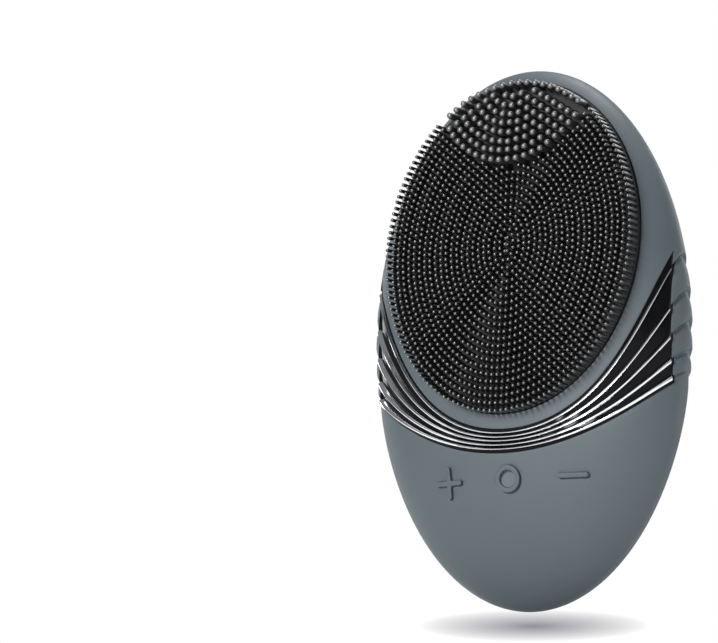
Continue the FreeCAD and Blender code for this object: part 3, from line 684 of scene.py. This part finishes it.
def bristle(name, radius, sides, steps):
    """One bristle from its root at the origin out along -Y, as (height, share of the radius) steps."""
    bpy.ops.mesh.primitive_circle_add(vertices=sides, radius=radius * MM, fill_type="NGON",
                                      rotation=(math.pi / 2, 0, 0))
    made = keep(name)
    bpy.ops.object.mode_set(mode="EDIT")
    bpy.ops.mesh.select_all(action="SELECT")
    level, width = 0.0, 1.0
    for height, share in steps:
        bpy.ops.mesh.extrude_region_move(
            TRANSFORM_OT_translate={"value": (0, (level - height) * MM, 0)})
        bpy.ops.transform.resize(value=(share / width, 1, share / width),
                                 center_override=(0, -height * MM, 0))
        level, width = height, share
    bpy.ops.mesh.select_all(action="SELECT")
    bpy.ops.mesh.normals_make_consistent(inside=False)
    bpy.ops.object.mode_set(mode="OBJECT")
    return made


def plant(name, pattern, spots):
    """A copy of the bristle on every spot, each leaning a little its own way, joined into one piece."""
    grown = []
    for x, z, lean_out, trim in spots:
        twin = pattern.copy()
        twin.data = pattern.data.copy()
        bpy.context.collection.objects.link(twin)
        lean_x = random.gauss(0, 0.012) + lean_out * x / PAD_HALF_WIDTH
        lean_z = random.gauss(0, 0.012) + lean_out * (z - PAD_Z) / PAD_HALF_HEIGHT
        for corner in twin.data.vertices:
            rise = max(0.0, -corner.co.y - trim * MM) if corner.co.y < -1 * MM else -corner.co.y
            corner.co.x += x * MM + rise * lean_x
            corner.co.z += z * MM + rise * lean_z
            corner.co.y = pad_flat_y(z) * MM + ROOT_SUNK * MM - rise
        grown.append(twin)
    bpy.data.objects.remove(pattern)
    bpy.ops.object.select_all(action="DESELECT")
    for twin in grown:
        twin.select_set(True)
    bpy.context.view_layer.objects.active = grown[0]
    bpy.ops.object.join()
    field = bpy.context.active_object
    field.name = name
    return field


def half_oval(half_x, half_z):
    """Right half of an oval about the middle of the pad, from its bottom to its top."""
    turns = [math.pi * (i / 360 - 0.5) for i in range(361)]
    return [(half_x * math.cos(t), PAD_Z + half_z * math.sin(t)) for t in turns]


def along(line, pitch):
    """Places spread evenly along a line, half a pitch in from both its ends."""
    lengths = [0.0]
    for (ax, az), (bx, bz) in zip(line, line[1:]):
        lengths.append(lengths[-1] + math.hypot(bx - ax, bz - az))
    count = max(1, round(lengths[-1] / pitch))
    spots, at = [], 0
    for i in range(count):
        want = (i + 0.5) * lengths[-1] / count
        while lengths[at + 1] < want:
            at += 1
        f = (want - lengths[at]) / (lengths[at + 1] - lengths[at])
        (ax, az), (bx, bz) = line[at], line[at + 1]
        spots.append((ax + (bx - ax) * f, az + (bz - az) * f))
    return spots


fine_spots = []
for row in range(23):
    half_x = PAD_HALF_WIDTH - EDGE_INSET - row * RING_STEP_X
    half_z = PAD_HALF_HEIGHT - EDGE_INSET - row * RING_STEP_Z
    for x, z in along(half_oval(half_x, half_z), FINE_PITCH):
        if math.hypot(x, PAD_TOP - z) > THICK_ARC + 1.3:
            lean = 0.03 if row == 0 else 0.0
            fine_spots += [(x, z, lean, 0.0), (-x, z, lean, 0.0)]

thick_spots = []
rim = EDGE_INSET + 0.35
for row in range(9):
    radius = THICK_ARC - row * THICK_PITCH
    count = int(radius * math.pi / 2 / THICK_PITCH) + 1
    for i in range(-count, count + 1):
        turn = i * THICK_PITCH / radius
        x, z = radius * math.sin(turn), PAD_TOP - radius * math.cos(turn)
        spare = rim + 1.4
        edge = (x / (PAD_HALF_WIDTH - spare)) ** 2 + ((z - PAD_Z) / (PAD_HALF_HEIGHT - spare)) ** 2
        if abs(turn) < math.pi / 2 and edge < 1:
            thick_spots.append((x, z, 0.0, 0.3 + 1.5 * edge ** 3))
for inset, lean, trim in ((rim, 0.05, 2.0), (rim + 1.7, 0.02, 1.4)):
    for x, z in along(half_oval(PAD_HALF_WIDTH - inset, PAD_HALF_HEIGHT - inset), THICK_PITCH):
        room = min(math.hypot(x - spot[0], z - spot[1]) for spot in thick_spots)
        if math.hypot(x, PAD_TOP - z) < THICK_ARC + 0.6 and (inset == rim or room > 1.45):
            thick_spots += [(x, z, lean, trim), (-x, z, lean, trim)]

# Sheet, fine bristles and thick bristles are one silicone. The sheet is painted darkest: painted shade
# for the shadow down between the bristles.
charcoal_painted_shade = finish_of("charcoal_silicone_painted_shade", (0.005, 0.005, 0.006), (0.008, 0.008, 0.009), 0.5, 0.6,
                     3000, 0.006, Specular_IOR_Level=0.2)
bristle_soft = finish_of("fine_bristle_silicone", (0.014, 0.014, 0.015), (0.022, 0.022, 0.023),
                         0.3, 0.36,
                         1500, 0.0, Specular_IOR_Level=0.8, Coat_Weight=1.0, Coat_Roughness=0.12)
# The thick bristles take a lighter shade of the same silicone: painted light standing in for their
# brightly lit caps.
bristle_firm_painted_lit = finish_of("thick_bristle_silicone_painted_lit", (0.030, 0.030, 0.031), (0.042, 0.042, 0.043),
                         0.34, 0.42,
                         1500, 0.0, Specular_IOR_Level=0.9, Coat_Weight=1.0, Coat_Roughness=0.36)

edge_of_sheet = oval(PAD_HALF_WIDTH - PAD_GAP, PAD_HALF_HEIGHT - PAD_GAP, 0, PAD_Z, 160)
sheet = column_of("pad_sheet", edge_of_sheet, -1, 0)
for corner in sheet.data.vertices:
    sunk = SHEET_THICK if corner.co.y > -0.5 * MM else 0.0
    corner.co.y = (pad_flat_y(corner.co.z / MM) + sunk) * MM
ease_edges(sheet, 0.3, 4)
fine = plant("fine_bristles", bristle("fine", FINE_RADIUS, 8, [
    (FINE_LENGTH - 0.15, 0.98), (FINE_LENGTH + 0.02, 0.88), (FINE_LENGTH + 0.13, 0.64),
    (FINE_LENGTH + 0.19, 0.32)]), fine_spots)
thick = plant("thick_bristles", bristle("thick", THICK_RADIUS, 14, [
    (THICK_LENGTH - 0.42, 0.99), (THICK_LENGTH - 0.17, 0.92), (THICK_LENGTH + 0.03, 0.76),
    (THICK_LENGTH + 0.15, 0.5), (THICK_LENGTH + 0.20, 0.2)]), thick_spots)
for piece, finish in ((sheet, charcoal_painted_shade), (fine, bristle_soft), (thick, bristle_firm_painted_lit)):
    smooth(piece, 60)
    piece.data.materials.clear()
    piece.data.materials.append(finish)
    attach(piece, "handset")
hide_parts("bristle_pad")


# Trim plate
# A fan of gloss black plastic, let into the front of the waist and seated on the shell behind it.
# It is moulded in slanting facets, with a seat for a chrome strip between one facet and the next.

RIB_SEAT = 0.9
TRIM_GAP = 0.15


def trim_end(height):
    """Every row of the trim stops at the same distance from the middle."""
    return TRIM_HALF_WIDTH - TRIM_GAP


def trim_rows():
    """From the foot up: a facet that rises outward below each rib's seat, and the seat itself."""
    def edge(kind, drop):
        return (lambda x: kind(x, TRIM_GAP)), (lambda x: drop)

    def beside(i, step, drop):
        return (lambda x: belt_line(i, x) + step * (belt_width(x) + 0.1)), (lambda x: drop)

    def between(i, share, drop):
        def height(x):
            low = belt_line(i + 1, x) + belt_width(x) / 2 + 0.05
            high = belt_line(i, x) - belt_width(x) / 2 - 0.05
            return low + (high - low) * share
        return height, (lambda x: drop)

    rows = [edge(trim_bottom, 0.25)]
    for i in (4, 3, 2, 1, 0):
        rows += [beside(i, -0.5, 0.12), beside(i, -0.499, RIB_SEAT), beside(i, 0.499, RIB_SEAT),
                 beside(i, 0.5, 0.55 if i else 0.2)]
        if i:
            rows += [between(i - 1, share, 0.55 - 0.42 * share) for share in (0.25, 0.5, 0.75)]
    rows += [edge(trim_top, 0.15)]
    return rows


piano = finish_of("gloss_black", (0.003, 0.003, 0.004), (0.005, 0.005, 0.006), 0.08, 0.12, 1200, 0.0,
                  Specular_IOR_Level=0.10)
plate = lay_sheet("trim_plate", -1, trim_rows(), 120, thick=SKIN, ends=trim_end)
smooth(plate, 25)
plate.data.materials.append(piano)
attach(plate, "handset")
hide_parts("trim_band")


# Chrome ribs
# Five chrome-plated plastic strips, pressed into the seats of the trim plate.
# Each has a broad bright face and a bevel along its top.

chrome = finish_of("chrome_plate", (0.80, 0.81, 0.83), (0.86, 0.87, 0.88), 0.06, 0.11, 900, 0.0,
                   Metallic=1.0)
RIB_SECTION = [(-0.5, 0.1), (-0.48, -0.05), (-0.4, -0.22), (-0.3, -0.31), (-0.1, -0.35), (0.14, -0.34),
               (0.2, -0.28), (0.46, 0.02), (0.5, 0.12)]


def rib_row(i, step, drop):
    """Row of a strip, at a share of its width from its belt line."""
    return (lambda x: belt_line(i, x) + step * belt_width(x)), (lambda x: drop)


for i in range(5):
    rows = [rib_row(i, step, drop) for step, drop in RIB_SECTION]
    rib = lay_sheet("chrome_strip_%d" % (i + 1), -1, rows, 120, thick=RIB_SEAT - 0.05, ends=trim_end)
    smooth(rib, 20)
    rib.data.materials.append(chrome)
    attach(rib, "handset")
    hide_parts("chrome_rib_%d" % (i + 1))


# Keys
# Minus, power and plus marks stand up through the skin, moulded in the same silicone over a hard disc.
# Each disc has a flange that the shell keeps in, and is pressed against a switch behind it.

KEY_PROUD = 0.7
KEY_DISC_RADIUS = 3.9
KEY_FLANGE_RADIUS = 4.8
KEY_FLANGE_Y = (-6.0, -5.3)


def ball(side, inset):
    """Whole ellipsoid that follows one side of the body at a depth."""
    bpy.ops.mesh.primitive_uv_sphere_add(segments=128, ring_count=96, radius=1, location=middle,
                                         rotation=(math.pi / 2, 0, 0))
    solid = bpy.context.active_object
    solid.scale = Vector((HALF_WIDTH - inset, HALF_LENGTH - inset, deep(side) - inset)) * MM
    return keep("body_form")


def unite(piece, *others):
    """Makes one closed shape of several that overlap."""
    for other in others:
        carve(piece, other, "UNION")


def stud(name, outline, x, rise):
    """Column whose flat top lies along the body at a key, rise above the silicone."""
    column = column_of(name, outline, -FAR, KEY_FLANGE_Y[0])
    centre_y = body_y(-1, x, 0)
    slope_x = (body_y(-1, x + 1, 0) - body_y(-1, x - 1, 0)) / 2
    slope_z = (body_y(-1, x, 1) - body_y(-1, x, -1)) / 2
    for corner in column.data.vertices:
        if corner.co.y < -20 * MM:
            out = slope_x * (corner.co.x / MM - x) + slope_z * corner.co.z / MM
            corner.co.y = (centre_y + out - rise) * MM
    return column


def finish_key(name, mark):
    """Rounds a mark, sets it on its disc and flange, and hands it over as a key."""
    x = KEY_X[name]
    mark.name = name + "_mark"
    ease_edges(mark, 0.24, 3, 45)
    unite(mark, stud("disc", oval(KEY_DISC_RADIUS, KEY_DISC_RADIUS, x, 0, 64), x, -SKIN - 0.15),
          column_of("flange", oval(KEY_FLANGE_RADIUS, KEY_FLANGE_RADIUS, x, 0, 64), *KEY_FLANGE_Y))
    smooth(mark, 40)
    mark.data.materials.clear()
    mark.data.materials.append(slate)
    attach(mark, name + "_button")
    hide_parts(name + "_key")


for name, arms in (("minus", 2), ("plus", 4)):
    finish_key(name, stud("mark", bar_outline(KEY_X[name], arms, 0), KEY_X[name], KEY_PROUD))
ring_mark = stud("mark", oval(KEY_RING / 2, KEY_RING / 2, 0, 0, 64), 0, KEY_PROUD)
hollow = KEY_RING / 2 - KEY_BAR
carve(ring_mark, column_of("hollow", oval(hollow, hollow, 0, 0, 64), -FAR, body_y(-1, 0, 0) + 0.02))
finish_key("power", ring_mark)


# Massage panel
# A separate panel of the same grey silicone, bonded into the back of the head.
# Four long shallow ripples are moulded in, each rising slowly from above to a sharp brow below.

WAVE_Z = [50.7, 40.9, 31.5, 22.2]
WAVE_HALF_WIDTH = [11.0, 13.7, 17.0, 18.0]
WAVE_HEIGHT = 0.4
WAVE_LENGTH = 2.5
PANEL_GAP = 0.17


def curl(base_z):
    """How fast a row of the panel curls upward, set by its height at the middle."""
    return 0.0165 + 0.00029 * (base_z - BELT_CENTRE_Z[0])


def panel_row(base_z, wave=None, off=0.0):
    """Row of the panel, off a little from the brow of a wave."""
    def height(x):
        return base_z + off + curl(base_z) * x * x

    def drop(x):
        if wave is None or off < -0.2:
            return 0.0
        side = min(1.0, abs(x) / WAVE_HALF_WIDTH[wave])
        fade = (1 - side ** 2) ** 0.8
        return -WAVE_HEIGHT * fade * (math.exp(-off / WAVE_LENGTH) if off >= 0 else 1 + off / 0.2)
    return height, drop


panel_rows = []
row_z = [6 + 1.5 * i for i in range(58)]
for z in row_z:
    if all(not -0.9 < z - w < 7.6 for w in WAVE_Z):
        panel_rows.append((z, panel_row(z)))
for i, w in enumerate(WAVE_Z):
    for off in (-0.3, -0.2, -0.12, -0.04, 0.0, 0.08, 0.2, 0.4, 0.8, 1.4, 2.1, 3.0, 4.2, 5.6, 7.2):
        panel_rows.append((w + off, panel_row(w, i, off)))
panel_rows = [row for z, row in sorted(panel_rows, key=lambda entry: entry[0])]
panel = lay_sheet("massage_panel_visible", 1, panel_rows, 110)
carve(panel, side_column("panel_form", panel_outline(PANEL_GAP), 1), "INTERSECT")
ease_edges(panel, 0.14)
smooth(panel)
panel.data.materials.clear()
panel.data.materials.append(slate)
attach(panel, "handset")
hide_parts("massage_panel")


# Lower panel
# A second inlay of the grey silicone, bonded into the rear skin below the belt.
# It is a butterfly that leaves an island in the middle for the light and the lightning mark.


def flat_row(z):
    """Level row with nothing let in."""
    return (lambda x: z), (lambda x: 0.0)


low_rows = [flat_row(-27.5 + 1.6 * i) for i in range(32)]
low_panel = lay_sheet("lower_panel_visible", 1, low_rows, 90)
carve(low_panel, side_column("lower_form", lower_outline(PANEL_GAP), 1), "INTERSECT")
ease_edges(low_panel, 0.14)
smooth(low_panel)
low_panel.data.materials.clear()
low_panel.data.materials.append(slate)
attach(low_panel, "handset")
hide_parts("lower_panel")


# Charge light window
# A moulded plug of frosted clear plastic, pressed in from behind through the rear shell.
# Its stem carries the lamp's glow out to the skin, and its face is level with the silicone round it.

lens = finish_of("frosted_window", (0.100, 0.116, 0.126), (0.115, 0.130, 0.140), 0.34, 0.42, 3000,
                 0.004)
lens_radius = LIGHT_RADIUS - PANEL_GAP
window = column_of("light_window_plug", oval(lens_radius, lens_radius, 0, LIGHT_Z, 48), 3.0, FAR)
carve(window, ball(1, 0.05), "INTERSECT")
unite(window, column_of("stem", oval(1.5, 1.5, 0, LIGHT_Z, 32), -0.9, 3.2))
ease_edges(window, 0.1)
smooth(window)
window.data.materials.clear()
window.data.materials.append(lens)
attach(window, "handset")
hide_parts("light_pipe")


# Port stopper
# A plug of the same soft silicone, pushed into the charging port by its pin and collar.
# Its strap stands up in a loop, so that a fingertip or a thin cord can pull it.

SOCKET_Z = -16.0
LOOP_HALF_WIDTH = 1.4
LOOP_HOLE = (6.5, -20.2, 1.55)
LOOP_BACK = [(4.6, -14.9), (7.9, -15.7), (9.2, -18.2), (9.1, -21.2), (7.4, -24.2), (4.6, -26.0),
             (2.4, -26.2)]
STOPPER_GAP = 0.15
PIN_RADIUS = 1.2
PIN_Y = (-0.3, 5.2)
COLLAR_RADIUS = 1.9
COLLAR_Y = (4.05, 5.3)


def flowing(points, steps):
    """Smooth line through every point."""
    line = []
    ends = [points[0]] + points + [points[-1]]
    for a, b, c, d in zip(ends, ends[1:], ends[2:], ends[3:]):
        for i in range(steps):
            t = i / steps
            line.append(tuple(0.5 * (2 * q + (r - p) * t + (2 * p - 5 * q + 4 * r - s) * t * t
                                     + (3 * q - p - 3 * r + s) * t ** 3)
                              for p, q, r, s in zip(a, b, c, d)))
    return line + [points[-1]]


def crossways(column):
    """Turns a column that lies along Y so that it lies along X."""
    for corner in column.data.vertices:
        corner.co = (-corner.co.y, corner.co.x, corner.co.z)
    return column


head = column_of("port_stopper_visible", plug_outline(STOPPER_GAP), PLUG_DEPTH_Y, FAR)
carve(head, ball(1, 0.0), "INTERSECT")
carve(head, ball(1, SKIN))
loop = crossways(column_of("strap", flowing(LOOP_BACK, 8), -LOOP_HALF_WIDTH, LOOP_HALF_WIDTH))
carve(loop, crossways(column_of("hole", oval(LOOP_HOLE[2], LOOP_HOLE[2], *LOOP_HOLE[:2], 40), -4, 4)))
ease_edges(loop, 0.26, 3)
carve(loop, ball(1, 0.4))
pin = column_of("pin", oval(PIN_RADIUS, PIN_RADIUS, 0, SOCKET_Z, 24), *PIN_Y)
collar = column_of("collar", oval(COLLAR_RADIUS, COLLAR_RADIUS, 0, SOCKET_Z, 24), *COLLAR_Y)
unite(head, loop, collar, pin)
smooth(head)
head.data.materials.clear()
head.data.materials.append(slate)
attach(head, "port_stopper")
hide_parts("port_plug")


# Works inside the shells
# Moulded shells, circuit board, pouch cell and vibrating motor, screwed together under the skins.
# These pieces keep the shapes that they were drawn with, and take the finish of what they are made of.

abs_plastic = finish_of("moulded_abs", (0.045, 0.047, 0.050), (0.056, 0.058, 0.062), 0.45, 0.6,
                        1800, 0.02)
gasket_rubber = finish_of("gasket_rubber", (0.015, 0.015, 0.016), (0.024, 0.024, 0.025), 0.6, 0.75,
                          1800, 0.01)
board_green = finish_of("board_lacquer", (0.010, 0.085, 0.038), (0.014, 0.110, 0.050), 0.25, 0.38,
                        700, 0.006)
nylon = finish_of("switch_nylon", (0.022, 0.022, 0.024), (0.032, 0.032, 0.034), 0.4, 0.5, 1500, 0.006)
steel = finish_of("pressed_steel", (0.48, 0.49, 0.50), (0.60, 0.61, 0.62), 0.24, 0.36, 900, 0.004,
                  Metallic=1.0)
pouch = finish_of("pouch_film", (0.50, 0.53, 0.57), (0.60, 0.63, 0.66), 0.3, 0.42, 500, 0.03,
                  Metallic=0.5)
foam = finish_of("cell_foam", (0.035, 0.035, 0.038), (0.055, 0.055, 0.058), 0.85, 0.95, 1100, 0.08)
lead_red = finish_of("lead_sleeve", (0.40, 0.022, 0.022), (0.50, 0.035, 0.032), 0.4, 0.5, 1500, 0.004)
lamp_resin = finish_of("lamp_resin", (0.80, 0.74, 0.50), (0.88, 0.82, 0.58), 0.2, 0.3, 900, 0.0)
heavy = finish_of("sintered_weight", (0.15, 0.15, 0.16), (0.20, 0.20, 0.21), 0.5, 0.65, 1400, 0.02,
                  Metallic=1.0)

INSIDE = {
    abs_plastic: ("front_shell", "rear_shell", "battery_tray"),
    gasket_rubber: ("seam_gasket", "motor_sleeve"),
    board_green: ("main_board",),
    nylon: ("plus_switch", "power_switch", "minus_switch",
            "plus_plunger", "power_plunger", "minus_plunger", "charge_socket"),
    steel: ("motor_can", "motor_shaft", "motor_clamp", "shell_screws", "board_screws", "tray_screws",
            "clamp_screws"),
    pouch: ("battery_cell",),
    foam: ("battery_foam",),
    lead_red: ("battery_leads", "motor_leads"),
    lamp_resin: ("charge_led",),
    heavy: ("eccentric_weight",),
}
for finish, names in INSIDE.items():
    for name in names:
        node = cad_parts[name]
        node.data.materials.clear()
        node.data.materials.append(finish)
